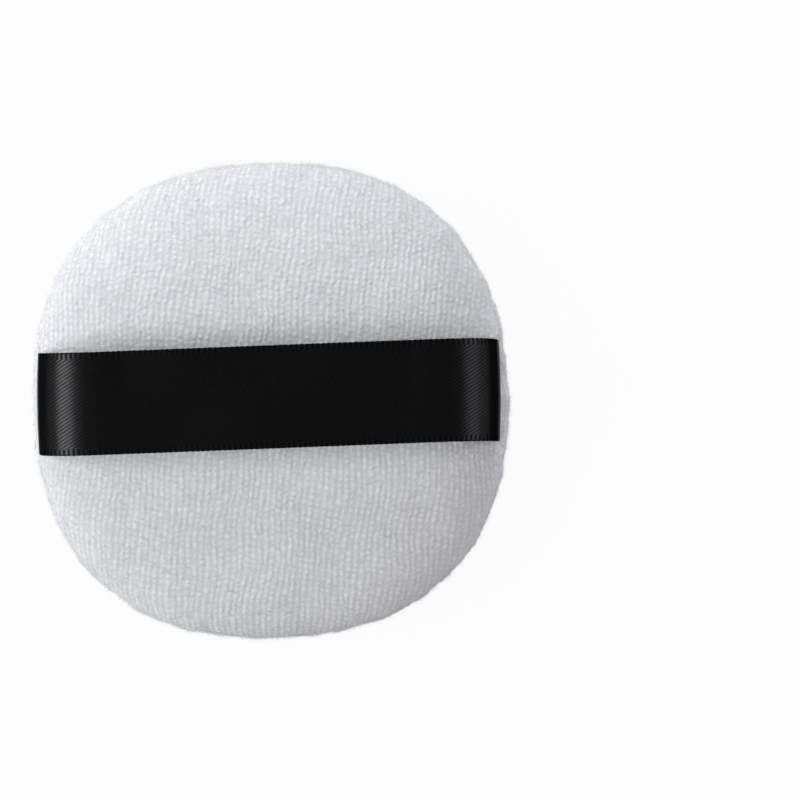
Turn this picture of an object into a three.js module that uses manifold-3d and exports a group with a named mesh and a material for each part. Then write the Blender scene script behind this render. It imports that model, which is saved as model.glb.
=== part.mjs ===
// A round powder puff: a foam core sewn between two velour covers, with a satin ribbon across the
// back for the fingers to slip under. Millimetres, +Z up. The puff lies on its powder face at Z = 0,
// the ribbon runs along X, and the Z axis goes through the middle of the pad.

import * as THREE from 'three';
import { mergeVertices } from 'three/addons/utils/BufferGeometryUtils.js';
import Module from 'manifold-3d';

// Driving dimensions of the pad.
const padWidth = 72; // across the powder face, along the ribbon and square to it
const diagonalSwell = 1.8; // how much further the edge reaches on the fabric's stretchy diagonals
const faceDepth = 9.5; // from the seam to the crown of the powder face
const restDepth = 0.5; // how far the powder face is pressed flat where the puff lies on it
const backDepth = 9; // from the seam to the crown of the back
const backInset = 1; // how far the back's edge is drawn in behind the face's edge
const coverThickness = 1.6; // velour with its pile
const faceRound = 1.8; // height of the face's roll into the seam
const backRound = 1; // height of the back's roll into the seam
const seamInset = 1.8; // how deep the seam lies behind the face's edge
const seamAllowance = 5; // turned-in edge of each cover
const allowanceThickness = 1; // the same edge pressed thin by the stitches
const turningGap = 34; // the opening that the core goes in by, sewn shut by hand
const threadWidth = 0.4;

// Driving dimensions of the ribbon.
const ribbonWidth = 15;
const ribbonThickness = 0.4;
const tailLength = 4.5; // the end that is caught in the seam
const rimShowing = 1.6; // the face's edge that reaches past the ribbon
const exitRadius = 0.9; // turn from the seam up the side
const shoulderRun = 10; // turn from the side to the top, along X
const uprightPull = 8; // how strongly the ribbon holds upright out of the seam
const levelPull = 9; // how strongly it holds level into the shoulder
const fingerGap = 5; // between the back's crown and the ribbon
const spanLength = 20; // middle length, which the fingers lift
const ribbonOffset = 0.5; // how far the ribbon is sewn off the pad's middle line

// Fits and fineness.
const clearance = 0.3; // between pieces that touch or press on each other
const ringSteps = 56;
const domeSteps = 7;
const rollSteps = 3;
const bendSteps = 8;
const threadSteps = 72;
const closingSteps = 12;
const threadSides = 6;

// Places that several pieces share.
const seamZ = faceDepth - restDepth;
const faceRadius = padWidth / 2;
const backRadius = faceRadius - backInset;
const seamRadius = faceRadius - seamInset;
const allowanceRadius = seamRadius - seamAllowance;
const allowanceTop = clearance / 2 + allowanceThickness;
const threadTop = allowanceTop + clearance + threadWidth;
const threadRadius = backRadius - coverThickness - clearance - threadWidth / 2;
const ribbonReach = faceRadius - rimShowing - ribbonThickness / 2;
const ribbonZ = seamZ + backDepth + fingerGap + ribbonThickness / 2;
const shoulderX = ribbonReach - shoulderRun;
const turningAngle = turningGap / seamRadius;

// The two halves of the pad, each measured away from the seam.
const face = { radius: faceRadius, depth: faceDepth, roll: faceRound, flat: restDepth };
const back = { radius: backRadius, depth: backDepth, roll: backRound, flat: 0 };

const velour = { color: 0xe4e6e8, roughness: 0.95, metalness: 0 };
const foam = { color: 0xefe6cf, roughness: 1, metalness: 0 };
const whiteThread = { color: 0xeff0f0, roughness: 0.8, metalness: 0 };
const satin = { color: 0x101010, roughness: 0.4, metalness: 0 };

const wasm = await Module();
wasm.setup();

// Joins shared corners and drops the empty triangles that a lathe leaves on its axis.
function closedGeometry(geometry) {
  const bare = geometry.clone();
  bare.deleteAttribute('normal');
  bare.deleteAttribute('uv');
  const merged = mergeVertices(bare, 1e-4);
  const kept = [];
  const corners = merged.index.array;
  for (let i = 0; i < corners.length; i += 3) {
    const [a, b, c] = corners.slice(i, i + 3);
    if (a !== b && b !== c && c !== a) kept.push(a, b, c);
  }
  merged.setIndex(kept);
  return merged;
}

function toSolid(geometry) {
  const closed = closedGeometry(geometry);
  const vertProperties = new Float32Array(closed.attributes.position.array);
  const triVerts = new Uint32Array(closed.index.array);
  return new wasm.Manifold(new wasm.Mesh({ numProp: 3, vertProperties, triVerts }));
}

function toGeometry(solid) {
  const mesh = solid.getMesh();
  const geometry = new THREE.BufferGeometry();
  geometry.setAttribute('position', new THREE.BufferAttribute(mesh.vertProperties, 3));
  geometry.setIndex(new THREE.BufferAttribute(mesh.triVerts, 1));
  geometry.computeVertexNormals();
  return geometry;
}

function named(name, geometry, look) {
  const mesh = new THREE.Mesh(geometry, new THREE.MeshStandardMaterial(look));
  mesh.name = name;
  return mesh;
}

// The knit gives more on its diagonals, so the sewn disc comes out slightly square.
function swellAt(angle) {
  return 1 + (diagonalSwell / faceRadius) * Math.sin(2 * angle) ** 2;
}

// A solid of revolution about Z, swollen on its diagonals.
function turned(profile) {
  const geometry = new THREE.LatheGeometry(profile, ringSteps);
  geometry.rotateX(Math.PI / 2);
  const place = geometry.attributes.position;
  for (let i = 0; i < place.count; i += 1) {
    const swell = swellAt(Math.atan2(place.getY(i), place.getX(i)));
    place.setXY(i, place.getX(i) * swell, place.getY(i) * swell);
  }
  return closedGeometry(geometry);
}

// A crown that is nearly level in the middle and round at the shoulder, from one angle to another:
// 0 is the middle of the crown, a quarter turn is its edge.
function crownPoints(radius, base, rise, from, to) {
  const points = [];
  for (let i = 0; i <= domeSteps; i += 1) {
    const angle = from + ((to - from) * i) / domeSteps;
    points.push(new THREE.Vector2(radius * Math.sqrt(Math.sin(angle)), base + rise * Math.cos(angle)));
  }
  return points;
}

function crownAngle(base, rise, height) {
  return Math.acos(Math.max(0, height - base) / rise);
}

// One cover in section: inside of the crown, turned-in edge, roll out of the seam, outside.
function coverProfile(half) {
  const rise = half.depth - half.roll;
  const innerRise = rise - coverThickness;
  const innerRadius = half.radius - coverThickness;
  const innerEnd = crownAngle(half.roll, innerRise, allowanceTop);
  const points = crownPoints(innerRadius, half.roll, innerRise, 0, innerEnd);
  if (allowanceTop < half.roll) points.push(new THREE.Vector2(innerRadius, allowanceTop));
  points.push(new THREE.Vector2(allowanceRadius, allowanceTop));
  points.push(new THREE.Vector2(allowanceRadius, clearance / 2));
  for (let i = 0; i < rollSteps; i += 1) {
    const angle = (Math.PI / 2) * (i / rollSteps);
    const out = seamRadius + (half.radius - seamRadius) * Math.sin(angle);
    points.push(new THREE.Vector2(out, half.roll - (half.roll - clearance / 2) * Math.cos(angle)));
  }
  const flatEdge = crownAngle(half.roll, rise, half.depth - half.flat);
  points.push(...crownPoints(half.radius, half.roll, rise, Math.PI / 2, flatEdge));
  points.push(new THREE.Vector2(0, half.depth - half.flat));
  return points;
}

// Half of the core in section, from the notch that takes the turned-in edges to the crown.
function coreProfile(half) {
  const radius = half.radius - coverThickness - clearance;
  const rise = half.depth - half.roll - coverThickness - clearance;
  const notchTop = threadTop + clearance;
  const notchEnd = new THREE.Vector2(allowanceRadius - clearance, notchTop);
  return [notchEnd, ...crownPoints(radius, half.roll, rise, crownAngle(half.roll, rise, notchTop), 0)];
}

function aboveSeam(profile) {
  return profile.map((point) => new THREE.Vector2(point.x, seamZ + point.y));
}

function belowSeam(profile) {
  return profile.map((point) => new THREE.Vector2(point.x, seamZ - point.y)).reverse();
}

// The ribbon's right end in side view: tail in the seam, up the side and over the shoulder.
function endRoute() {
  const sideFoot = seamZ + exitRadius;
  const shoulderEnd = shoulderX + clearance / 2;
  const route = new THREE.Path();
  route.moveTo(seamRadius - tailLength, seamZ);
  route.lineTo(ribbonReach - exitRadius, seamZ);
  route.absarc(ribbonReach - exitRadius, sideFoot, exitRadius, -Math.PI / 2, 0, false);
  const upright = [ribbonReach, sideFoot + uprightPull];
  const level = [shoulderEnd + levelPull, ribbonZ];
  route.bezierCurveTo(...upright, ...level, shoulderEnd, ribbonZ);
  return route.getPoints(bendSteps);
}

function levelRoute(fromX, toX) {
  return [new THREE.Vector2(fromX, ribbonZ), new THREE.Vector2(toX, ribbonZ)];
}

// A band of a given thickness and width that follows a route in side view.
function band(route, thickness, width) {
  const upper = [];
  const lower = [];
  route.forEach((point, i) => {
    const before = route[Math.max(0, i - 1)];
    const after = route[Math.min(route.length - 1, i + 1)];
    const along = after.clone().sub(before).normalize();
    const across = new THREE.Vector2(-along.y, along.x).multiplyScalar(thickness / 2);
    upper.push(point.clone().add(across));
    lower.unshift(point.clone().sub(across));
  });
  const section = new THREE.Shape([...upper, ...lower]);
  const geometry = new THREE.ExtrudeGeometry(section, { depth: width, bevelEnabled: false, steps: 1 });
  geometry.rotateX(Math.PI / 2);
  geometry.translate(0, width / 2, 0);
  return closedGeometry(geometry);
}

function ribbonBand(route) {
  return band(route, ribbonThickness, ribbonWidth);
}

// The room that both ribbon ends take in the seam and press into the back's edge, open to the outside.
function ribbonBed() {
  const route = endRoute();
  route.unshift(new THREE.Vector2(route[0].x - clearance, seamZ));
  const slot = toSolid(band(route, ribbonThickness + 2 * clearance, ribbonWidth + 2 * clearance));
  const bed = slot.add(slot.translate([backRadius - ribbonReach, 0, 0]));
  return bed.add(bed.rotate([0, 0, 180])).translate([0, ribbonOffset, 0]);
}

function cover(profile) {
  return toGeometry(toSolid(turned(profile)).subtract(ribbonBed()));
}

// A thread that follows the seam at a given radius and height, over an arc about an angle.
class SeamCurve extends THREE.Curve {
  constructor(radius, height, middle, sweep) {
    super();
    Object.assign(this, { radius, height, middle, sweep });
  }

  getPoint(t) {
    const angle = this.middle + this.sweep * (t - 0.5);
    const radius = this.radius * swellAt(angle);
    return new THREE.Vector3(radius * Math.cos(angle), radius * Math.sin(angle), this.height);
  }
}

function thread(curve, steps) {
  const section = new THREE.Shape();
  section.absarc(0, 0, threadWidth / 2, 0, 2 * Math.PI, false);
  const look = { extrudePath: curve, steps, curveSegments: threadSides / 2, bevelEnabled: false };
  return closedGeometry(new THREE.ExtrudeGeometry(section, look));
}

// A machine-sewn thread runs all round but for the opening at the -Y edge.
function machineThread(side) {
  const height = seamZ + side * (threadTop - threadWidth / 2);
  return thread(new SeamCurve(threadRadius, height, Math.PI / 2, 2 * Math.PI - turningAngle), threadSteps);
}

// The hand-sewn thread lies in the groove between the two rolls, where there is room for it.
function handThread() {
  const room = threadWidth / 2 + clearance;
  const share = (faceRound - room) / (faceRound - clearance / 2);
  const radius = seamRadius + seamInset * Math.sqrt(1 - share ** 2);
  return thread(new SeamCurve(radius, seamZ, -Math.PI / 2, turningAngle), closingSteps);
}

const coreSection = [...belowSeam(coreProfile(face)), ...aboveSeam(coreProfile(back))];
const endBand = ribbonBand(endRoute());
const flankBand = ribbonBand(levelRoute(spanLength / 2 + clearance / 2, shoulderX - clearance / 2));
const spanBand = ribbonBand(levelRoute(-spanLength / 2 + clearance / 2, spanLength / 2 - clearance / 2));

const puff = new THREE.Group();
puff.add(named('face_cover', cover(belowSeam(coverProfile(face))), velour));
puff.add(named('back_cover', cover(aboveSeam(coverProfile(back))), velour));
puff.add(named('foam_core', turned(coreSection), foam));
puff.add(named('needle_thread', machineThread(1), whiteThread));
puff.add(named('bobbin_thread', machineThread(-1), whiteThread));
puff.add(named('closing_thread', handThread(), whiteThread));
const ribbon = new THREE.Group();
ribbon.position.y = ribbonOffset;
ribbon.add(named('ribbon_span', spanBand, satin));
for (const [side, turn] of [['right', 0], ['left', Math.PI]]) {
  const half = new THREE.Group();
  half.rotation.z = turn;
  half.add(named(`ribbon_${side}_end`, endBand, satin));
  half.add(named(`ribbon_${side}_flank`, flankBand, satin));
  ribbon.add(half);
}
puff.add(ribbon);

export default puff;
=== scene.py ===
import math

import bpy
import numpy as np
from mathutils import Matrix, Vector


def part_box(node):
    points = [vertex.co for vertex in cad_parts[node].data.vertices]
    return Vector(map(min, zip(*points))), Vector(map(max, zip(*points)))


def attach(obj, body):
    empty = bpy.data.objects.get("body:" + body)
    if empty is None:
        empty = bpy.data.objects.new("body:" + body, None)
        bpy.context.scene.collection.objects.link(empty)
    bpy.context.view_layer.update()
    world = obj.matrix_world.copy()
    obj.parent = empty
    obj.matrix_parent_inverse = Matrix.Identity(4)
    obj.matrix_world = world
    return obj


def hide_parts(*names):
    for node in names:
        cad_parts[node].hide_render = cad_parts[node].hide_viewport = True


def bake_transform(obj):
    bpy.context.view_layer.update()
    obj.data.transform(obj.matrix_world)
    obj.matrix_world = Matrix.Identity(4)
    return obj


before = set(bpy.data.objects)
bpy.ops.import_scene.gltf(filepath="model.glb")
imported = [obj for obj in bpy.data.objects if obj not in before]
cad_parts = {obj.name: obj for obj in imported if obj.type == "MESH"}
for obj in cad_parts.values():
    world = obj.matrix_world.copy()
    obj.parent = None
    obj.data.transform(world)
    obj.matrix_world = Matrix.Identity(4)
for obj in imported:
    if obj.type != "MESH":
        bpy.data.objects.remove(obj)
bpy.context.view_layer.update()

# A round powder puff that lies on its powder face: two velour covers over a foam core, and a black
# satin ribbon across the back. Lengths are in millimetres until a mesh is made.
MM = 0.001

# The view: the puff's place in an 800 by 800 picture taken from straight above.
IMAGE_SIDE = 800
PUFF_PIXEL_X = 271
PUFF_PIXEL_Y = 400.5
PUFF_RADIUS_PIXELS = 240
RIBBON_TILT = math.radians(2.2)
CAMERA_HEIGHT = 450
SENSOR_WIDTH = 36

# The covers, where the frame's boxes don't tell.
FACE_ROLL = 1.8
BACK_ROLL = 1.0
BACK_PLUMP = 0.5
REST_DEPTH = 0.5
REST_EDGE = (0.55, 0.8)
SEAM_INSET = 1.8
SEAM_ALLOWANCE = 5.0
ALLOWANCE_THICKNESS = 1.0
COVER_THICKNESS = 1.6
CLEARANCE = 0.3
LIP_GAP = 0.03
ROOM_EDGE = (0.1, 1.4)
ROOM_INSET = 1.0
SECTION_STEPS = 400
INNER_RINGS = 6
EDGE_SPAN = 5
INNER_TONE = 0.5
MAP_RADIUS = 0.49
MAP_CORNER = 0.088

# The velour's knit: beads of pile in wandering upright rows.
WALE_PITCH = 0.88
COURSE_PITCH = 0.86
WALE_STEPS = 4
COURSE_STEPS = 3
GRAIN_LEAN = math.radians(7)
WALL_STRETCH = 0.6
BEAD_DEPTH = 0.23
BEAD_HEIGHTS = (0.5, 1.0)
BEAD_NOTCHES = (0.0, 0.5)
BEAD_VALLEYS = (0.0, 0.25)
BEAD_SHOULDER = 0.5
BEAD_END = 0.8
BEAD_SLANT = (-0.1, 0.3)
BEAD_SHIFT = 0.1
JOINT_SHIFT = 0.2
WALE_STAGGER = 0.3
WALE_WANDER = 0.2
BEAD_WANDER = 0.05
LUMP_HEIGHT = 0.05
PUCKER_HEIGHT = 0.1
PUCKER_REACH = 5.0
PUCKER_STRETCH = 0.15
RELIEF_SINK = 1.5
SEAM_FADE = 0.5
SEAM_WAVE = 0.1
SEAM_WAVE_REACH = 3.0
SEAM_HOLD = (1.0, 6.0)

# Uneven fields: the count of waves in each, their shortest and longest lengths, and seeds.
WAVE_COUNT = 24
WANDER_WAVES = (9, 26)
BEAD_WAVES = (2, 4)
LUMP_WAVES = (7, 20)
PUCKER_WAVES = (3, 7)
SEAM_WAVES = (6, 18)
RIPPLE_WAVES = (10, 30)
FACE_SEED = 11
BACK_SEED = 47
SEAM_SEED = 71
RIBBON_SEED = 83
FOAM_SEED = 5

# Loose fibres of the pile.
FIBRE_COUNT = 40000
FIBRE_LENGTH = (0.3, 0.85)
FIBRE_WIDTH = 0.045
FIBRE_ROOT = 0.05
FIBRE_LEAN = 0.48
FIBRE_HEADROOM = 0.3
FIBRE_FLOOR = 0.1
FIBRE_LOWEST = 0.45
FIBRE_SIDEWAYS = (0.31, 0.57, 0.76)
BARE_BESIDE = 0.4
BARE_INSIDE = 2.0
BARE_BELOW = 0.8

# The ribbon.
RIBBON_CLOTH = 0.3
TAIL_LENGTH = 4.5
EXIT_RADIUS = 0.9
EXIT_STEPS = 12
UPRIGHT_PULL = 8.0
LEVEL_PULL = 9.0
BEND_STEPS = 80
RIBBON_STEP = 0.175
RIBBON_COLUMNS = 22
RIBBON_BOW = 0.2
RIBBON_SKEW = 0.2
RIBBON_SWAY = 0.35
RIBBON_GAP = 0.22
RIBBON_CROWN = 0.3
RIBBON_RIPPLE = 0.1
RIPPLE_START = 4.0
EDGE_SHARE = 0.99
EDGE_THINNING = 0.5
SHARP_DEGREES = 50
PICOT_PITCH = 0.78
PICOT_DEPTH = 0.05
SELVEDGE_WIDTH = 0.95
SELVEDGE_BLEND = 0.1
FLOAT_PITCH = 0.468
FLOAT_LEAN = math.radians(28)

# Threads and foam.
STITCH_LENGTH = 3.0
STITCH_DIP = 0.12
PLY_PITCH = 1.3
PLY_STEP = 0.2
PLY_SIDES = 6
TURNING_GAP = 34.0
FOAM_SECTORS = 160
FOAM_RINGS = 26
FOAM_PIT = 0.12

# The stage and its light, in metres.
STAGE_RADIUS = 3.0
STAGE_SIDES = 48
WALL_HEIGHT = 0.6
FLOOR_GREY = 0.7
FLOOR_WHITE = 0.95
SURROUND_GREY = 0.05
LAMP_DISTANCE = 0.6


def corners(node):
    low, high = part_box(node)
    return np.array(low) / MM, np.array(high) / MM


def widest(node):
    place = np.array([vertex.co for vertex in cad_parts[node].data.vertices]) / MM
    return float(np.hypot(place[:, 0], place[:, 1]).max())


# Sizes that the frame gives.
face_low, face_high = corners("face_cover")
back_low, back_high = corners("back_cover")
span_low, span_high = corners("ribbon_span")
flank_low, flank_high = corners("ribbon_right_flank")
end_low, end_high = corners("ribbon_right_end")
closing_low, closing_high = corners("closing_thread")
seam_z = (face_high[2] + back_low[2]) / 2
face_radius = face_high[0]
back_radius = back_high[1]
seam_radius = face_radius - SEAM_INSET
allowance_radius = seam_radius - SEAM_ALLOWANCE
allowance_top = CLEARANCE / 2 + ALLOWANCE_THICKNESS
swell = widest("face_cover") / face_radius - 1
thread_width = closing_high[2] - closing_low[2]
ribbon_width = span_high[1] - span_low[1]
ribbon_z = (span_high[2] + span_low[2]) / 2
ribbon_y = (span_high[1] + span_low[1]) / 2
ribbon_reach = end_high[0] - (span_high[2] - span_low[2]) / 2
shoulder_x = flank_high[0] + CLEARANCE / 2
crown_z = back_high[2]

# The two halves of the pad. The side tells which way a half bulges from the seam: 1 is up.
FACE = {
    "side": -1,
    "radius": face_radius,
    "depth": seam_z - face_low[2] + REST_DEPTH,
    "roll": FACE_ROLL,
    "flat": REST_DEPTH,
    "seed": FACE_SEED,
}
BACK = {
    "side": 1,
    "radius": back_radius + BACK_PLUMP,
    "depth": crown_z - seam_z,
    "roll": BACK_ROLL,
    "flat": 0.0,
    "seed": BACK_SEED,
}


def make_camera():
    """A camera straight above, turned so that the ribbon rises to the right as it does in the picture."""
    scale = PUFF_RADIUS_PIXELS / face_radius
    distance = CAMERA_HEIGHT - (seam_z - FACE_ROLL)
    right = (IMAGE_SIDE / 2 - PUFF_PIXEL_X) / scale
    up = (PUFF_PIXEL_Y - IMAGE_SIDE / 2) / scale
    data = bpy.data.cameras.new("camera")
    data.sensor_width = SENSOR_WIDTH
    data.lens = SENSOR_WIDTH * scale * distance / IMAGE_SIDE
    camera = bpy.data.objects.new("camera", data)
    bpy.context.scene.collection.objects.link(camera)
    cosine = math.cos(RIBBON_TILT)
    sine = math.sin(RIBBON_TILT)
    across = right * cosine + up * sine
    along = up * cosine - right * sine
    camera.location = (across * MM, along * MM, CAMERA_HEIGHT * MM)
    camera.rotation_euler = (0, 0, -RIBBON_TILT)
    bpy.context.scene.camera = camera


def smooth_step(value, start, end):
    share = np.clip((value - start) / (end - start), 0, 1)
    return share * share * (3 - 2 * share)


def ripple(x, y, lengths, seed):
    """A smooth uneven field of about unit strength, made of waves between two lengths."""
    draw = np.random.default_rng(seed)
    total = np.zeros_like(x)
    for _ in range(WAVE_COUNT):
        length = draw.uniform(*lengths)
        way = draw.uniform(0, 2 * math.pi)
        start = draw.uniform(0, 2 * math.pi)
        total += np.sin(2 * math.pi * (x * math.cos(way) + y * math.sin(way)) / length + start)
    return total / math.sqrt(WAVE_COUNT / 2)


def swell_at(angle):
    """The knit gives more on its diagonals, so the sewn disc comes out slightly square."""
    return 1 + swell * np.sin(2 * angle) ** 2


def new_piece(name, places, faces, material, sharp=None):
    """A smooth mesh object from points in millimetres."""
    mesh = bpy.data.meshes.new(name)
    mesh.from_pydata((places * MM).tolist(), [], faces)
    mesh.shade_smooth()
    if sharp is not None:
        mesh.set_sharp_from_angle(angle=math.radians(sharp))
    mesh.materials.append(material)
    piece = bpy.data.objects.new(name, mesh)
    bpy.context.scene.collection.objects.link(piece)
    return piece


def keep_numbers(piece, name, values):
    attribute = piece.data.attributes.new(name, "FLOAT", "POINT")
    attribute.data.foreach_set("value", values.astype(np.float32))


def keep_vectors(piece, name, values):
    attribute = piece.data.attributes.new(name, "FLOAT_VECTOR", "POINT")
    attribute.data.foreach_set("vector", values.astype(np.float32).ravel())


def keep_map(piece, corner_places):
    """A flat map of the piece, one place for each corner of each face."""
    layer = piece.data.uv_layers.new(name="OFBake")
    layer.uv.foreach_set("vector", corner_places.astype(np.float32).ravel())


def corner_vertices(piece):
    found = np.empty(len(piece.data.loops), np.int32)
    piece.data.loops.foreach_get("vertex_index", found)
    return found


# Materials.


def new_material(name, colour, roughness, specular):
    material = bpy.data.materials.new(name)
    material.use_nodes = True
    shader = material.node_tree.nodes["Principled BSDF"]
    shader.inputs["Base Color"].default_value = (*colour, 1)
    shader.inputs["Roughness"].default_value = roughness
    shader.inputs["Specular IOR Level"].default_value = specular
    return material, material.node_tree, shader


def add_node(tree, kind, **settings):
    node = tree.nodes.new(kind)
    for name, value in settings.items():
        setattr(node, name, value)
    return node


def set_inputs(node, **values):
    for name, value in values.items():
        node.inputs[name].default_value = value


def sum_of(tree, first, second, share):
    """first plus share times second."""
    node = add_node(tree, "ShaderNodeMath", operation="MULTIPLY_ADD")
    tree.links.new(second, node.inputs[0])
    node.inputs[1].default_value = share
    tree.links.new(first, node.inputs[2])
    return node.outputs[0]


def scaled(tree, value, share):
    node = add_node(tree, "ShaderNodeMath", operation="MULTIPLY")
    tree.links.new(value, node.inputs[0])
    node.inputs[1].default_value = share
    return node.outputs[0]


def spread(tree, value, low, high):
    """A value from 0 to 1 brought to the range from low to high."""
    node = add_node(tree, "ShaderNodeMapRange")
    set_inputs(node, **{"To Min": low, "To Max": high})
    tree.links.new(value, node.inputs["Value"])
    return node.outputs["Result"]


def mixed(tree, share, first, second):
    node = add_node(tree, "ShaderNodeMix", data_type="FLOAT")
    for number, value in ((0, share), (2, first), (3, second)):
        tree.links.new(value, node.inputs[number])
    return node.outputs[0]


def noise(tree, vector, scale, detail):
    node = add_node(tree, "ShaderNodeTexNoise")
    tree.links.new(vector, node.inputs["Vector"])
    set_inputs(node, Scale=scale, Detail=detail)
    return node.outputs["Fac"]


def colour_ramp(tree, value, stops):
    node = add_node(tree, "ShaderNodeValToRGB")
    for element, (place, colour) in zip(node.color_ramp.elements, stops):
        element.position = place
        element.color = (*colour, 1)
    tree.links.new(value, node.inputs["Fac"])
    return node.outputs["Color"]


def bump(tree, shader, height, distance, strength):
    node = add_node(tree, "ShaderNodeBump")
    set_inputs(node, Strength=strength, Distance=distance)
    tree.links.new(height, node.inputs["Height"])
    tree.links.new(node.outputs["Normal"], shader.inputs["Normal"])


def part_along(tree, vector, way):
    node = add_node(tree, "ShaderNodeVectorMath", operation="DOT_PRODUCT")
    tree.links.new(vector, node.inputs[0])
    node.inputs[1].default_value = way
    return node.outputs["Value"]


def ridges(tree, value, pitch, power):
    """Ridges from 0 to 1 along a length in millimetres, round at power 1 and slimmer above."""
    sine = add_node(tree, "ShaderNodeMath", operation="SINE")
    tree.links.new(scaled(tree, value, math.pi / pitch), sine.inputs[0])
    level = add_node(tree, "ShaderNodeMath", operation="ABSOLUTE")
    tree.links.new(sine.outputs[0], level.inputs[0])
    shaped = add_node(tree, "ShaderNodeMath", operation="POWER")
    tree.links.new(level.outputs[0], shaped.inputs[0])
    shaped.inputs[1].default_value = power
    return shaped.outputs[0]


def velour_material():
    """Matt white pile with painted shade: greyer between the beads, where the pile is low, and where the
    fine bump dips, with fibres in the bump.
    """
    material, tree, shader = new_material("velour", (0.83, 0.84, 0.85), 0.9, 0.15)
    set_inputs(shader, **{"Sheen Weight": 0.25, "Sheen Roughness": 0.5})
    place = add_node(tree, "ShaderNodeTexCoord").outputs["Object"]
    height = add_node(tree, "ShaderNodeAttribute", attribute_name="height").outputs["Fac"]
    fine = noise(tree, place, 5200, 3)
    broad = noise(tree, place, 420, 2)
    # Painted shade: the colour darkens where the pile is low and where the fine bump dips; the broad noise
    # is a random tone.
    level = sum_of(tree, sum_of(tree, scaled(tree, height, 0.7), fine, 0.2), broad, 0.1)
    colour = colour_ramp(tree, level, [(0.2, (0.68, 0.69, 0.71)), (0.7, (0.865, 0.87, 0.88))])
    tree.links.new(colour, shader.inputs["Base Color"])
    bump(tree, shader, fine, 0.00009, 0.6)
    return material


def nap_material():
    """Single fibres of the pile, each of a random tone, with painted shade towards the root so that they are
    whiter towards their tips.
    """
    material, tree, shader = new_material("nap", (0.86, 0.865, 0.875), 0.85, 0.2)
    along = add_node(tree, "ShaderNodeAttribute", attribute_name="fibre").outputs["Vector"]
    split = add_node(tree, "ShaderNodeSeparateXYZ")
    tree.links.new(along, split.inputs[0])
    # Painted shade darkens each fibre towards its root; the rest is a random tone for each fibre.
    tone = sum_of(tree, scaled(tree, split.outputs["Y"], 0.7), split.outputs["X"], 0.3)
    colour = colour_ramp(tree, tone, [(0.0, (0.78, 0.785, 0.80)), (1.0, (0.87, 0.875, 0.88))])
    tree.links.new(colour, shader.inputs["Base Color"])
    return material


def at_selvedge(tree, cloth):
    """1 on the ribbon's woven edges and 0 on its satin middle."""
    from_middle = add_node(tree, "ShaderNodeMath", operation="ABSOLUTE")
    tree.links.new(part_along(tree, cloth, (0, 1, 0)), from_middle.inputs[0])
    step = add_node(tree, "ShaderNodeMapRange", interpolation_type="SMOOTHSTEP")
    edge = ribbon_width / 2 - SELVEDGE_WIDTH
    set_inputs(step, **{"From Min": edge - SELVEDGE_BLEND, "From Max": edge + SELVEDGE_BLEND})
    tree.links.new(from_middle.outputs[0], step.inputs["Value"])
    return step.outputs["Result"]


def satin_material():
    """Black satin with fine slanting floats, and woven selvedges with a dash at each turn of the weft, with
    painted shade in the grooves between them.

    Its gloss is a metal's, weak and even: the threads hide each other at flat angles, so the edges of the
    bend don't gleam as a smooth sheet's would."""
    material, tree, shader = new_material("satin", (0.02, 0.02, 0.02), 0.3, 0.0)
    set_inputs(shader, **{"Metallic": 0.8, "Specular Tint": (0.15, 0.15, 0.15, 1)})
    cloth = add_node(tree, "ShaderNodeAttribute", attribute_name="cloth").outputs["Vector"]
    slant = part_along(tree, cloth, (-math.sin(FLOAT_LEAN), math.cos(FLOAT_LEAN), 0))
    floats = ridges(tree, slant, FLOAT_PITCH, 1)
    gleam = ridges(tree, slant, FLOAT_PITCH, 2)
    dashes = ridges(tree, part_along(tree, cloth, (1, 0, 0)), PICOT_PITCH, 2)
    edge = at_selvedge(tree, cloth)
    # Painted shade: the gloss is weaker in the grooves between the floats and between the dashes, which dims
    # the highlight there; the noise is a random tone.
    shine = mixed(tree, edge, spread(tree, gleam, 0.3, 1.0), dashes)
    tone = sum_of(tree, scaled(tree, shine, 0.7), noise(tree, cloth, 1.3, 2), 0.3)
    colour = colour_ramp(tree, tone, [(0.1, (0.004, 0.004, 0.004)), (0.9, (0.027, 0.027, 0.028))])
    tree.links.new(colour, shader.inputs["Base Color"])
    rough = mixed(tree, edge, spread(tree, gleam, 0.36, 0.24), spread(tree, dashes, 0.5, 0.24))
    tree.links.new(rough, shader.inputs["Roughness"])
    weave = mixed(tree, edge, floats, scaled(tree, dashes, 0.5))
    height = sum_of(tree, scaled(tree, weave, 0.8), noise(tree, cloth, 9, 2), 0.2)
    bump(tree, shader, height, 0.000055, 0.35)
    return material


def foam_material():
    """Cream open-cell foam, with painted shade in the pits of its cells."""
    material, tree, shader = new_material("foam", (0.84, 0.79, 0.65), 1.0, 0.1)
    place = add_node(tree, "ShaderNodeTexCoord").outputs["Object"]
    cells = add_node(tree, "ShaderNodeTexVoronoi", feature="DISTANCE_TO_EDGE")
    set_inputs(cells, Scale=1400)
    tree.links.new(place, cells.inputs["Vector"])
    distance = cells.outputs["Distance"]
    # Painted shade: darker and deeper yellow towards the middle of each cell, where the bump sinks into a
    # pit.
    colour = colour_ramp(tree, distance, [(0.0, (0.87, 0.83, 0.70)), (0.35, (0.70, 0.63, 0.47))])
    tree.links.new(colour, shader.inputs["Base Color"])
    depth = add_node(tree, "ShaderNodeMath", operation="SUBTRACT")
    depth.inputs[0].default_value = 1
    tree.links.new(distance, depth.inputs[1])
    bump(tree, shader, depth.outputs[0], 0.0002, 0.8)
    return material


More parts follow.
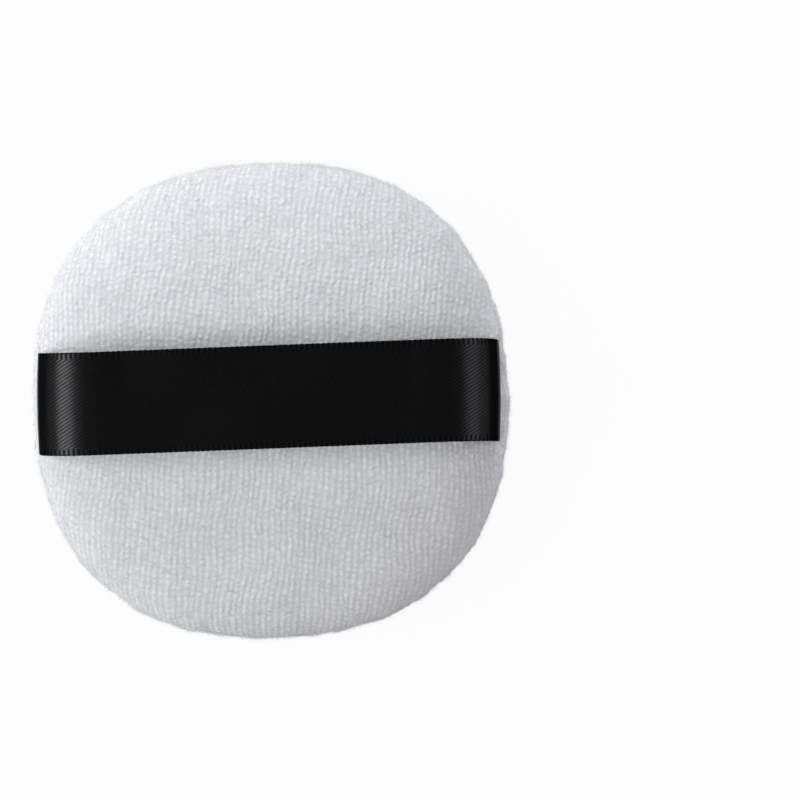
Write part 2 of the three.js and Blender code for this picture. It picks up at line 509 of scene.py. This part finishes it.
def thread_material():
    """White spun sewing thread, of a random tone with painted shade where its bump dips."""
    material, tree, shader = new_material("thread", (0.84, 0.85, 0.86), 0.7, 0.3)
    set_inputs(shader, **{"Sheen Weight": 0.2})
    place = add_node(tree, "ShaderNodeTexCoord").outputs["Object"]
    fibres = noise(tree, place, 16000, 3)
    # Random tone and painted shade at once: the noise that lifts the bump also lightens the colour, so the
    # dips are darker.
    colour = colour_ramp(tree, fibres, [(0.3, (0.76, 0.77, 0.79)), (0.75, (0.88, 0.885, 0.89))])
    tree.links.new(colour, shader.inputs["Base Color"])
    bump(tree, shader, fibres, 0.00003, 0.6)
    return material


# The covers.


def outer_section(half):
    """A cover's outside from its crown to the seam: length of cloth, radius and height over the seam.

    The knit stretches down the steep sides, so less cloth goes into them than their length."""
    share = np.linspace(0, 1, SECTION_STEPS)
    angle = share**2 * math.pi / 2
    rise = half["depth"] - half["roll"]
    crown_radius = half["radius"] * np.sqrt(np.sin(angle))
    crown_height = np.minimum(half["roll"] + rise * np.cos(angle), half["depth"] - half["flat"])
    turn = math.pi / 2 * (1 - share[1:])
    roll_radius = seam_radius + (half["radius"] - seam_radius) * np.sin(turn)
    roll_height = half["roll"] - (half["roll"] - LIP_GAP / 2) * np.cos(turn)
    radius = np.append(crown_radius, roll_radius)
    height = np.append(crown_height, roll_height)
    cloth = np.append(0, np.cumsum(np.hypot(np.diff(radius), WALL_STRETCH * np.diff(height))))
    return cloth, radius, height


def inner_section(half):
    """Radius and height of a cover's turned-in edge and inside, from the seam to the crown's last ring."""
    radius = half["radius"] - COVER_THICKNESS
    rise = half["depth"] - half["roll"] - COVER_THICKNESS
    points = [(allowance_radius, CLEARANCE / 2), (allowance_radius, allowance_top)]
    if allowance_top < half["roll"]:
        points.append((radius, allowance_top))
    last = math.acos(max(0, allowance_top - half["roll"]) / rise)
    for share in np.linspace(1, 0, INNER_RINGS, endpoint=False):
        angle = last * share
        points.append((radius * math.sqrt(math.sin(angle)), half["roll"] + rise * math.cos(angle)))
    return points, half["roll"] + rise


def knit_grid(columns, courses):
    """The grid's column and row numbers, counted from the middle of the cloth."""
    return np.meshgrid(
        np.arange(-columns * WALE_STEPS, columns * WALE_STEPS + 1),
        np.arange(-courses * COURSE_STEPS, courses * COURSE_STEPS + 1),
        indexing="ij",
    )


def wandering(x, y, seed):
    """How far the knit's rows stray at each place, sideways and along."""
    ways = []
    for number in (1, 3):
        broad = WALE_WANDER * ripple(x, y, WANDER_WAVES, seed + number)
        ways.append(broad + BEAD_WANDER * ripple(x, y, BEAD_WAVES, seed + number + 1))
    return ways


def bead_lattice(half, reach):
    """Grid points that follow the knit's wandering rows: fabric coordinates and the height of the pile."""
    columns = math.ceil(reach / WALE_PITCH) + 1
    courses = math.ceil(reach / COURSE_PITCH) + 1
    column, row = knit_grid(columns, courses)
    draw = np.random.default_rng(half["seed"])
    beads = (2 * columns + 2, 2 * courses + 2)
    shift = draw.uniform(-1, 1, beads[0]) * WALE_STAGGER * COURSE_PITCH
    top = draw.uniform(*BEAD_HEIGHTS, beads)
    notch = draw.uniform(*BEAD_NOTCHES, beads)
    valley = draw.uniform(*BEAD_VALLEYS, beads)
    slant = draw.uniform(*BEAD_SLANT, beads)
    aside = draw.uniform(-1, 1, beads) * BEAD_SHIFT
    joint = draw.uniform(-1, 1, beads) * JOINT_SHIFT * COURSE_PITCH
    wale = column // WALE_STEPS + columns
    before = (column - 1) // WALE_STEPS + columns
    course = row // COURSE_STEPS + courses
    earlier = (row - 1) // COURSE_STEPS + courses
    along = np.array([0, 1, BEAD_END])[row % COURSE_STEPS]
    ridge = np.array([0, BEAD_SHOULDER, 1, BEAD_SHOULDER])[column % WALE_STEPS]
    up_bead = (row % COURSE_STEPS) / COURSE_STEPS
    lean = (slant[wale, course] + slant[before, course]) / 2
    slip = lean * (up_bead - 0.5) * COURSE_PITCH
    lift = [shift[side] + joint[side, course] * (1 - up_bead) + joint[side, course + 1] * up_bead
            for side in (wale, before)]
    x = column * WALE_PITCH / WALE_STEPS + slip + aside[wale, course] * along * ridge
    y = row * COURSE_PITCH / COURSE_STEPS + (lift[0] + lift[1]) / 2
    between = notch[wale, course] * (top[wale, course] + top[wale, earlier]) / 2
    peak = between + (top[wale, course] - between) * along
    pile = ridge * peak + (1 - ridge) * valley[wale, course]
    sideways, endways = wandering(x, y, half["seed"])
    x = x + sideways
    y = y + endways
    cosine = math.cos(GRAIN_LEAN)
    sine = math.sin(GRAIN_LEAN)
    return x * cosine + y * sine, y * cosine - x * sine, pile


def inside_cells(inside):
    """The grid's cells whose four corners lie inside, as four flat vertex numbers each."""
    number = np.arange(inside.size).reshape(inside.shape)
    whole = inside[:-1, :-1] & inside[1:, :-1] & inside[1:, 1:] & inside[:-1, 1:]
    around = (number[:-1, :-1], number[1:, :-1], number[1:, 1:], number[:-1, 1:])
    return np.stack([corner[whole] for corner in around], axis=1)


def edge_loop(cells):
    """The vertices along the outer edge of the cells, in order round it."""
    following = np.roll(cells, -1, axis=1)
    steps = set(zip(cells.ravel().tolist(), following.ravel().tolist()))
    after = {first: second for first, second in steps if (second, first) not in steps}
    loop = [min(after)]
    while after[loop[-1]] != loop[0]:
        loop.append(after[loop[-1]])
    return np.array(loop)


def even_turns(x, y):
    """Angles round the middle for points in order round it, smoothed so that each is past the one before."""
    turn = np.sort(np.unwrap(np.arctan2(y, x)))
    side = EDGE_SPAN // 2
    around = np.concatenate([turn[-side:] - 2 * math.pi, turn, turn[:side] + 2 * math.pi])
    return np.convolve(around, np.full(EDGE_SPAN, 1 / EDGE_SPAN), mode="valid")


def cover_relief(half, x, y, pile, reach):
    """How far a cover's outside lies off its smooth section: beads, lumps, and puckers at the seam."""
    along = np.hypot(x, y)
    to_seam = reach - along
    seed = half["seed"]
    lumps = LUMP_HEIGHT * (ripple(x, y, LUMP_WAVES, seed + 5) - RELIEF_SINK)
    if half["flat"]:
        start, end = np.array(REST_EDGE) * half["radius"]
        lumps *= smooth_step(along, start, end)
    rim = np.exp(-((to_seam / PUCKER_REACH) ** 2))
    round_edge = np.arctan2(y, x) * seam_radius
    uneven = ripple(round_edge, along * PUCKER_STRETCH, PUCKER_WAVES, seed + 6)
    puckers = PUCKER_HEIGHT * rim * (uneven - RELIEF_SINK)
    return (BEAD_DEPTH * (pile - 1) + lumps + puckers) * smooth_step(to_seam, 0, SEAM_FADE)


def cover_points(half, x, y, pile, section):
    """Places of the cover's outside for fabric coordinates, with the knit's relief."""
    cloth, radius, height = section
    along = np.hypot(x, y)
    angle = np.arctan2(y, x)
    relief = cover_relief(half, x, y, pile, cloth[-1])
    slope = np.arctan2(-np.gradient(height, cloth), np.gradient(radius, cloth))
    out = np.interp(along, cloth, radius) + relief * np.interp(along, cloth, np.sin(slope))
    out = out * swell_at(angle)
    rise = np.interp(along, cloth, height) + relief * np.interp(along, cloth, np.cos(slope))
    rise = np.minimum(rise, half["depth"] - half["flat"])
    return np.stack([out * np.cos(angle), out * np.sin(angle), seam_z + half["side"] * rise], axis=1)


def across_ribbon(places):
    """Where a place lies across the end of the ribbon on its side, from -1 to 1 at the ribbon's edges."""
    sign = np.sign(places[:, 0])
    return ((places[:, 1] - ribbon_y) * sign + RIBBON_SWAY) / (ribbon_width / 2)


def beside_ribbon(places):
    """How far a place lies to the side of the ribbon's end, less than 0 under or over it."""
    return (np.abs(across_ribbon(places)) - 1) * ribbon_width / 2


def ribbon_bow(across):
    """How far the ribbon's upright stretch stands out of true at a place across it."""
    return RIBBON_SKEW * across - RIBBON_BOW * across**2


def waved(places):
    """Moves what lies near the seam with the wavy sewn line, which is level where it holds the ribbon."""
    near = np.exp(-(((places[:, 2] - seam_z) / SEAM_WAVE_REACH) ** 2))
    free = smooth_step(beside_ribbon(places), *SEAM_HOLD)
    moved = places.copy()
    moved[:, 2] += SEAM_WAVE * near * free * ripple(places[:, 0], places[:, 1], SEAM_WAVES, SEAM_SEED)
    return moved


def make_room(places, side):
    """Presses a cover back where the ribbon's ends lie in the seam and climb its edge."""
    near = 1 - smooth_step(beside_ribbon(places), *ROOM_EDGE)
    near = near * (np.abs(places[:, 0]) > allowance_radius - ROOM_INSET)
    level = seam_z + side * (LIP_GAP / 2 + (RIBBON_GAP - LIP_GAP / 2) * near)
    beyond = side * (places[:, 2] - level)
    moved = places.copy()
    moved[:, 2] = np.where((beyond < 0) & (near > 0), level, places[:, 2])
    if side > 0:
        turn_z = seam_z + EXIT_RADIUS
        down = np.clip(turn_z - moved[:, 2], 0, EXIT_RADIUS - RIBBON_GAP)
        limit = ribbon_reach - EXIT_RADIUS + np.sqrt((EXIT_RADIUS - RIBBON_GAP) ** 2 - down**2)
        limit += ribbon_bow(np.clip(across_ribbon(places), -1, 1))
        too_far = np.maximum(0, np.abs(moved[:, 0]) - limit) * near
        moved[:, 0] -= np.sign(moved[:, 0]) * too_far
    return moved


def hem_rings(half, angle):
    """The turned-in edge and the inside of a cover: rings that follow the sewn edge, and a middle point."""
    rings, middle = inner_section(half)
    places = []
    for radius, height in rings:
        out = radius * swell_at(angle)
        level = np.full(len(angle), seam_z + half["side"] * height)
        places.append(np.stack([out * np.cos(angle), out * np.sin(angle), level], axis=1))
    places.append(np.array([[0, 0, seam_z + half["side"] * middle]]))
    return np.concatenate(places), len(rings)


def hem_faces(edge, start, rings):
    """Faces that join the sewn edge to the rings inside it, and the last ring to the middle point."""
    count = len(edge)
    after = np.roll(np.arange(count), -1)
    loops = [edge, *(start + ring * count + np.arange(count) for ring in range(rings))]
    bands = [np.stack([outer[after], outer, inner, inner[after]], axis=1)
             for outer, inner in zip(loops, loops[1:])]
    last = loops[-1]
    fan = np.stack([last[after], last, np.full(count, start + rings * count)], axis=1)
    return np.concatenate(bands), fan


def cover(name, node, half, material):
    """One velour cover as a closed shell, with the pile's height kept at each point."""
    section = outer_section(half)
    reach = section[0][-1]
    x, y, pile = bead_lattice(half, reach)
    used, cells = np.unique(inside_cells(np.hypot(x, y) < reach), return_inverse=True)
    cells = cells.reshape(-1, 4)
    x, y, pile = (values.ravel()[used] for values in (x, y, pile))
    edge = edge_loop(cells)
    turn = even_turns(x[edge], y[edge])
    x[edge] = reach * np.cos(turn)
    y[edge] = reach * np.sin(turn)
    outside = cover_points(half, x, y, pile, section)
    inside, rings = hem_rings(half, turn)
    places = waved(make_room(np.concatenate([outside, inside]), half["side"]))
    bands, fan = hem_faces(edge, len(outside), rings)
    way = half["side"]
    quads = np.concatenate([cells, bands])[:, ::way]
    piece = new_piece(name, places, quads.tolist() + fan[:, ::way].tolist(), material)
    # The pile's height, from which the velour paints shade between the beads.
    keep_numbers(piece, "height", np.append(pile, np.full(len(inside), INNER_TONE)))
    map_cover(piece, np.stack([x, y], axis=1) / reach, inside, len(cells))
    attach(piece, "pad")
    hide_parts(node)
    return places, cells[:, ::way]


def map_cover(piece, flat, inside, cell_count):
    """Lays the outside of a cover out as a disc, and its inside as a small disc in the corner of the map."""
    inner_flat = inside[:, :2] / np.abs(inside[:, :2]).max() / math.sqrt(2)
    outer_place = np.concatenate([0.5 + MAP_RADIUS * flat, np.zeros((len(inside), 2))])
    inner_place = 1 - MAP_CORNER + MAP_CORNER * np.concatenate([flat, inner_flat])
    vertex = corner_vertices(piece)
    shown = np.arange(len(vertex)) < cell_count * 4
    keep_map(piece, np.where(shown[:, None], outer_place[vertex], inner_place[vertex]))


# Loose fibres.


def fibre_roots(places, cells, draw):
    """Seeded places on a cover's outside and the way that the surface faces there."""
    cell = cells[draw.integers(0, len(cells), FIBRE_COUNT)]
    first = draw.random((FIBRE_COUNT, 1))
    second = draw.random((FIBRE_COUNT, 1))
    a, b, c, d = (places[cell[:, corner]] for corner in range(4))
    root = (a * (1 - first) + b * first) * (1 - second) + (d * (1 - first) + c * first) * second
    facing = np.cross(c - a, d - b)
    return root, facing / np.linalg.norm(facing, axis=1, keepdims=True)


def under_ribbon(root):
    """Places that the ribbon's ends press on, where no fibre stands free."""
    close = beside_ribbon(root) < BARE_BESIDE
    return close & (np.abs(root[:, 0]) > ribbon_reach - BARE_INSIDE) & (root[:, 2] > seam_z - BARE_BELOW)


def fibre_points(root, facing, draw):
    """Four points for each fibre: three round its root and one at its tip."""
    count = len(root)
    way = facing + FIBRE_LEAN * draw.normal(0, 1, (count, 3))
    way /= np.linalg.norm(way, axis=1, keepdims=True)
    tip = root + way * draw.uniform(*FIBRE_LENGTH, (count, 1))
    tip[:, 2] = np.clip(tip[:, 2], FIBRE_FLOOR, crown_z + FIBRE_HEADROOM)
    side = np.cross(way, FIBRE_SIDEWAYS)
    side /= np.linalg.norm(side, axis=1, keepdims=True)
    up = np.cross(way, side)
    base = root - way * FIBRE_ROOT
    spokes = [base + FIBRE_WIDTH / 2 * (side * math.cos(turn) + up * math.sin(turn))
              for turn in np.arange(3) * 2 * math.pi / 3]
    return np.stack([*spokes, tip], axis=1).reshape(-1, 3)


def nap(name, outside, half, material):
    """The pile's loose fibres, each a slender closed spike."""
    draw = np.random.default_rng(half["seed"] + 9)
    root, facing = fibre_roots(*outside, draw)
    kept = ~under_ribbon(root) & (root[:, 2] > FIBRE_LOWEST)
    places = fibre_points(root[kept], facing[kept], draw)
    count = len(places) // 4
    pattern = np.array([[0, 1, 3], [1, 2, 3], [2, 0, 3], [2, 1, 0]])
    faces = (np.arange(count)[:, None, None] * 4 + pattern).reshape(-1, 3)
    piece = new_piece(name, places, faces.tolist(), material)
    tone = np.repeat(draw.random(count), 4)
    along = np.tile([0.0, 0.0, 0.0, 1.0], count)
    # Each fibre's random tone, and how far along the fibre a point lies, from which the nap material paints
    # shade towards the root.
    keep_vectors(piece, "fibre", np.stack([tone, along, np.zeros(4 * count)], axis=1))
    vertex = corner_vertices(piece)
    keep_map(piece, np.stack([tone[vertex], along[vertex]], axis=1))
    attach(piece, "pad")


# The ribbon.


def ribbon_route():
    """Half of the ribbon in side view, from its tail in the seam, up the side and over to the middle."""
    turn_z = seam_z + EXIT_RADIUS
    points = [(seam_radius - TAIL_LENGTH, seam_z)]
    for angle in np.linspace(-math.pi / 2, 0, EXIT_STEPS):
        out = ribbon_reach + EXIT_RADIUS * (math.cos(angle) - 1)
        points.append((out, turn_z + EXIT_RADIUS * math.sin(angle)))
    pulls = np.array([
        (ribbon_reach, turn_z),
        (ribbon_reach, turn_z + UPRIGHT_PULL),
        (shoulder_x + LEVEL_PULL, ribbon_z),
        (shoulder_x, ribbon_z),
    ])
    for share in np.linspace(0, 1, BEND_STEPS)[1:]:
        rest = 1 - share
        weights = np.array([rest**3, 3 * share * rest**2, 3 * share**2 * rest, share**3])
        points.append(tuple(weights @ pulls))
    points.append((0, ribbon_z))
    points = np.array(points)
    length = np.append(0, np.cumsum(np.hypot(*np.diff(points, axis=0).T)))
    even = np.linspace(0, length[-1], round(length[-1] / RIBBON_STEP) + 1)
    x = np.interp(even, length, points[:, 0])
    z = np.interp(even, length, points[:, 1])
    return x, z, even


def ribbon_columns():
    """Places across the ribbon, from one edge to the other, closer together at the selvedges."""
    share = np.linspace(-1, 1, RIBBON_COLUMNS)
    return np.sin(share * math.pi / 2)


def ribbon_points(sign):
    """Half of the ribbon: its upper and under points, their places on the flat cloth, and its length."""
    x, z, length = ribbon_route()
    slope_x = np.gradient(x, length)
    slope_z = np.gradient(z, length)
    size = np.hypot(slope_x, slope_z)
    out_x = (slope_z / size)[:, None]
    out_z = (-slope_x / size)[:, None]
    columns = ribbon_columns()[None, :]
    at_edge = np.abs(columns) > EDGE_SHARE
    from_middle = (length[-1] - length)[:, None]
    picot = PICOT_DEPTH * (0.5 + 0.5 * np.cos(2 * math.pi * from_middle / PICOT_PITCH))
    y = columns * (ribbon_width / 2 - PICOT_DEPTH + picot * at_edge)
    sway = RIBBON_SWAY * smooth_step(from_middle, shoulder_x, length[-1] - TAIL_LENGTH)
    loose = smooth_step(-x, -shoulder_x, RIPPLE_START - shoulder_x)[:, None]
    wave = RIBBON_RIPPLE * loose * ripple(from_middle * sign + 0 * y, y * sign, RIPPLE_WAVES, RIBBON_SEED)
    flat_x = x[:, None] + ribbon_bow(columns) * out_x
    flat_z = z[:, None] + wave + RIBBON_CROWN * smooth_step(-x, -shoulder_x, 0)[:, None]
    half_cloth = RIBBON_CLOTH / 2 * np.where(at_edge, EDGE_THINNING, 1.0)
    sides = []
    for way in (half_cloth, -half_cloth):
        sides.append(np.stack([flat_x + out_x * way, y - sway, flat_z + out_z * way], axis=2))
    cloth = np.stack([from_middle * sign + 0 * y, y * sign, 0 * y], axis=2)
    return np.stack(sides), cloth, length[-1]


def ribbon_half(side_name, sign, material, replaced):
    """One half of the ribbon, from the seam to its middle, as a closed thin band."""
    sides, cloth, length = ribbon_points(sign)
    places = sides.reshape(-1, 3)
    places[:, :2] *= sign
    places[:, 1] += ribbon_y
    faces = band_faces(*cloth.shape[:2])
    piece = new_piece(f"ribbon_{side_name}", places, faces, material, sharp=SHARP_DEGREES)
    keep_vectors(piece, "cloth", np.tile(cloth.reshape(-1, 3), (2, 1)))
    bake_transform(piece)
    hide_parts(*replaced)


def band_faces(rows, columns):
    """Faces of a closed band: its upper grid, its under grid and the walls between them."""
    upper = np.arange(rows * columns).reshape(rows, columns)
    under = upper + rows * columns
    faces = []
    for grid, way in ((upper, 1), (under, -1)):
        cells = np.stack([grid[:-1, :-1], grid[:-1, 1:], grid[1:, 1:], grid[1:, :-1]], axis=2)
        faces += cells.reshape(-1, 4)[:, ::way].tolist()
    rim = np.concatenate([upper[0, :-1], upper[:-1, -1], upper[-1, :0:-1], upper[:0:-1, 0]])
    after = np.roll(rim, -1)
    walls = np.stack([rim, rim + rows * columns, after + rows * columns, after], axis=1)
    return faces + walls.tolist()


# Threads and foam.


def stitched_thread(name, node, radius, height, middle, sweep, dip, material):
    """A two-ply sewing thread along the seam, drawn in at each stitch."""
    arc = radius * sweep
    count = round(arc / PLY_STEP) + 1
    share = np.linspace(0, 1, count)
    angle = middle + sweep * (share - 0.5)
    run = arc * share
    level = height + dip * (np.abs(np.sin(math.pi * run / STITCH_LENGTH)) ** 0.5 - 1)
    ply = thread_width / 4
    places = []
    faces = []
    for strand in range(2):
        twist = 2 * math.pi * run / PLY_PITCH + math.pi * strand
        out = radius * swell_at(angle) + ply * np.cos(twist)
        up = level + ply * np.sin(twist)
        faces += tube_faces(len(places) * count, count)
        for turn in np.arange(PLY_SIDES) * 2 * math.pi / PLY_SIDES:
            far = out + ply * math.cos(turn)
            high = up + ply * math.sin(turn)
            places.append(np.stack([far * np.cos(angle), far * np.sin(angle), high], axis=1))
    piece = new_piece(name, waved(np.concatenate(places)), faces, material)
    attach(piece, "pad")
    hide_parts(node)


def tube_faces(start, count):
    """Faces of a closed tube whose sides follow each other, count points to a side."""
    grid = start + np.arange(count * PLY_SIDES).reshape(PLY_SIDES, count)
    after = np.roll(grid, -1, axis=0)
    cells = np.stack([grid[:, :-1], grid[:, 1:], after[:, 1:], after[:, :-1]], axis=2)
    return [*cells.reshape(-1, 4).tolist(), grid[:, 0].tolist(), grid[::-1, -1].tolist()]


def threads(material):
    """The two machine threads, which leave the opening free, and the hand-sewn one that closes it."""
    opening = TURNING_GAP / seam_radius
    all_round = 2 * math.pi - opening
    for name, side in (("needle", 1), ("bobbin", -1)):
        low, high = corners(f"{name}_thread")
        radius = high[1] - thread_width / 2
        level = (low[2] + high[2]) / 2
        stitched_thread(f"{name}_stitching", f"{name}_thread", radius, level, math.pi / 2, all_round,
                        side * STITCH_DIP, material)
    radius = -closing_low[1] - thread_width / 2
    stitched_thread("closing_stitching", "closing_thread", radius, seam_z, -math.pi / 2, opening,
                    STITCH_DIP, material)


def foam_section():
    """The core in section, from the bottom of its middle to the top, round the seam's notch."""
    gap = COVER_THICKNESS + CLEARANCE
    notch = allowance_top + 2 * CLEARANCE + thread_width
    points = []
    for half in (FACE, BACK):
        radius = half["radius"] - gap
        rise = half["depth"] - half["roll"] - gap
        last = math.acos(max(0, notch - half["roll"]) / rise)
        angles = last * np.linspace(0, 1, FOAM_RINGS)[1:] ** 2
        line = [(radius * math.sqrt(math.sin(angle)), half["roll"] + rise * math.cos(angle))
                for angle in angles]
        line.append((allowance_radius - CLEARANCE, notch))
        line = [(out, seam_z + half["side"] * height) for out, height in line]
        points += line[::-half["side"]]
    low = seam_z - (FACE["depth"] - gap)
    high = seam_z + BACK["depth"] - gap
    return points, low, high


def foam(material):
    """The foam core, with open cells over its surface."""
    section, low, high = foam_section()
    angle = np.arange(FOAM_SECTORS) * 2 * math.pi / FOAM_SECTORS
    draw = np.random.default_rng(FOAM_SEED)
    rings = []
    for radius, height in section:
        out = (radius - FOAM_PIT * draw.random(FOAM_SECTORS)) * swell_at(angle)
        inward = np.sign(seam_z - height) * FOAM_PIT * draw.random(FOAM_SECTORS)
        rings.append(np.stack([out * np.cos(angle), out * np.sin(angle), height + inward], axis=1))
    places = np.concatenate([*rings, [[0, 0, low], [0, 0, high]]])
    grid = np.arange(len(section) * FOAM_SECTORS).reshape(len(section), FOAM_SECTORS)
    after = np.roll(grid, -1, axis=1)
    faces = np.stack([grid[:-1], after[:-1], after[1:], grid[1:]], axis=2).reshape(-1, 4).tolist()
    bottom = len(section) * FOAM_SECTORS
    faces += np.stack([after[0], grid[0], np.full(FOAM_SECTORS, bottom)], axis=1).tolist()
    faces += np.stack([grid[-1], after[-1], np.full(FOAM_SECTORS, bottom + 1)], axis=1).tolist()
    piece = new_piece("foam_filling", places, faces, material)
    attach(piece, "pad")
    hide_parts("foam_core")


# Stage and light.


def seen_directly(tree):
    """1 for rays from the camera, mirrored rays and rays through clear things, and 0 for all others."""
    path = add_node(tree, "ShaderNodeLightPath")
    seen = path.outputs["Is Camera Ray"]
    for kind in ("Is Glossy Ray", "Is Transmission Ray"):
        either = add_node(tree, "ShaderNodeMath", operation="MAXIMUM")
        tree.links.new(seen, either.inputs[0])
        tree.links.new(path.outputs[kind], either.inputs[1])
        seen = either.outputs[0]
    return seen


def floor_material():
    """Looks white, with a share of plain grey that takes the shadow and throws light back."""
    material = bpy.data.materials.new("floor")
    material.use_nodes = True
    tree = material.node_tree
    tree.nodes.remove(tree.nodes["Principled BSDF"])
    plain = add_node(tree, "ShaderNodeBsdfDiffuse")
    plain.inputs["Color"].default_value = (FLOOR_GREY, FLOOR_GREY, FLOOR_GREY, 1)
    white = add_node(tree, "ShaderNodeEmission")
    mix = add_node(tree, "ShaderNodeMixShader")
    tree.links.new(scaled(tree, seen_directly(tree), FLOOR_WHITE), mix.inputs[0])
    tree.links.new(plain.outputs[0], mix.inputs[1])
    tree.links.new(white.outputs[0], mix.inputs[2])
    tree.links.new(mix.outputs[0], tree.nodes["Material Output"].inputs["Surface"])
    return material


def floor():
    """A white round floor that keeps a soft shadow, with a low white wall all round, far from the object."""
    turn = np.arange(STAGE_SIDES) * 2 * math.pi / STAGE_SIDES
    ring = np.stack([STAGE_RADIUS * np.cos(turn), STAGE_RADIUS * np.sin(turn), 0 * turn], axis=1)
    number = np.arange(STAGE_SIDES)
    after = np.roll(number, -1)
    wall = np.stack([after, number, number + STAGE_SIDES, after + STAGE_SIDES], axis=1)
    mesh = bpy.data.meshes.new("floor")
    places = np.concatenate([ring, ring + (0, 0, WALL_HEIGHT)])
    mesh.from_pydata(places.tolist(), [], [number.tolist(), *wall.tolist()])
    mesh.materials.append(floor_material())
    piece = bpy.data.objects.new("floor", mesh)
    bpy.context.scene.collection.objects.link(piece)


def surround():
    """A dim even surround, so that the flat of the ribbon stays black."""
    world = bpy.data.worlds.new("surround")
    bpy.context.scene.world = world
    world.use_nodes = True
    colour = world.node_tree.nodes["Background"].inputs["Color"]
    colour.default_value = (SURROUND_GREY, SURROUND_GREY, SURROUND_GREY, 1)


def lamp(name, azimuth, elevation, wide, high, power, tint):
    """A soft box at a distance, aimed at the middle of the puff. Azimuth 0 is +X, 90 is +Y."""
    data = bpy.data.lights.new(name, "AREA")
    data.shape = "RECTANGLE"
    data.size = wide
    data.size_y = high
    data.energy = power
    data.color = tint
    light = bpy.data.objects.new(name, data)
    bpy.context.scene.collection.objects.link(light)
    turn = math.radians(azimuth)
    lift = math.radians(elevation)
    out = LAMP_DISTANCE * math.cos(lift)
    light.location = (out * math.cos(turn), out * math.sin(turn), LAMP_DISTANCE * math.sin(lift))
    light.rotation_euler = (math.pi / 2 - lift, 0, turn + math.pi / 2)
    light.visible_camera = False


bpy.context.scene.view_settings.view_transform = "Standard"
make_camera()
velour = velour_material()
fibre = nap_material()
satin = satin_material()
nap("face_nap", cover("face_velour", "face_cover", FACE, velour), FACE, fibre)
nap("back_nap", cover("back_velour", "back_cover", BACK, velour), BACK, fibre)
foam(foam_material())
threads(thread_material())
ribbon_half("left", -1, satin, ("ribbon_left_end", "ribbon_left_flank", "ribbon_span"))
ribbon_half("right", 1, satin, ("ribbon_right_end", "ribbon_right_flank"))
floor()
surround()
lamp("left", 184, 38, 0.45, 0.32, 3.15, (0.98, 0.995, 1.01))
lamp("upper", 90, 17, 0.9, 0.22, 2.95, (0.965, 1.0, 1.01))
lamp("right", 0, 32, 0.6, 0.35, 1.35, (1.01, 0.98, 1.03))
lamp("lower", 270, 34, 0.9, 0.25, 0.55, (1.04, 1.0, 1.03))
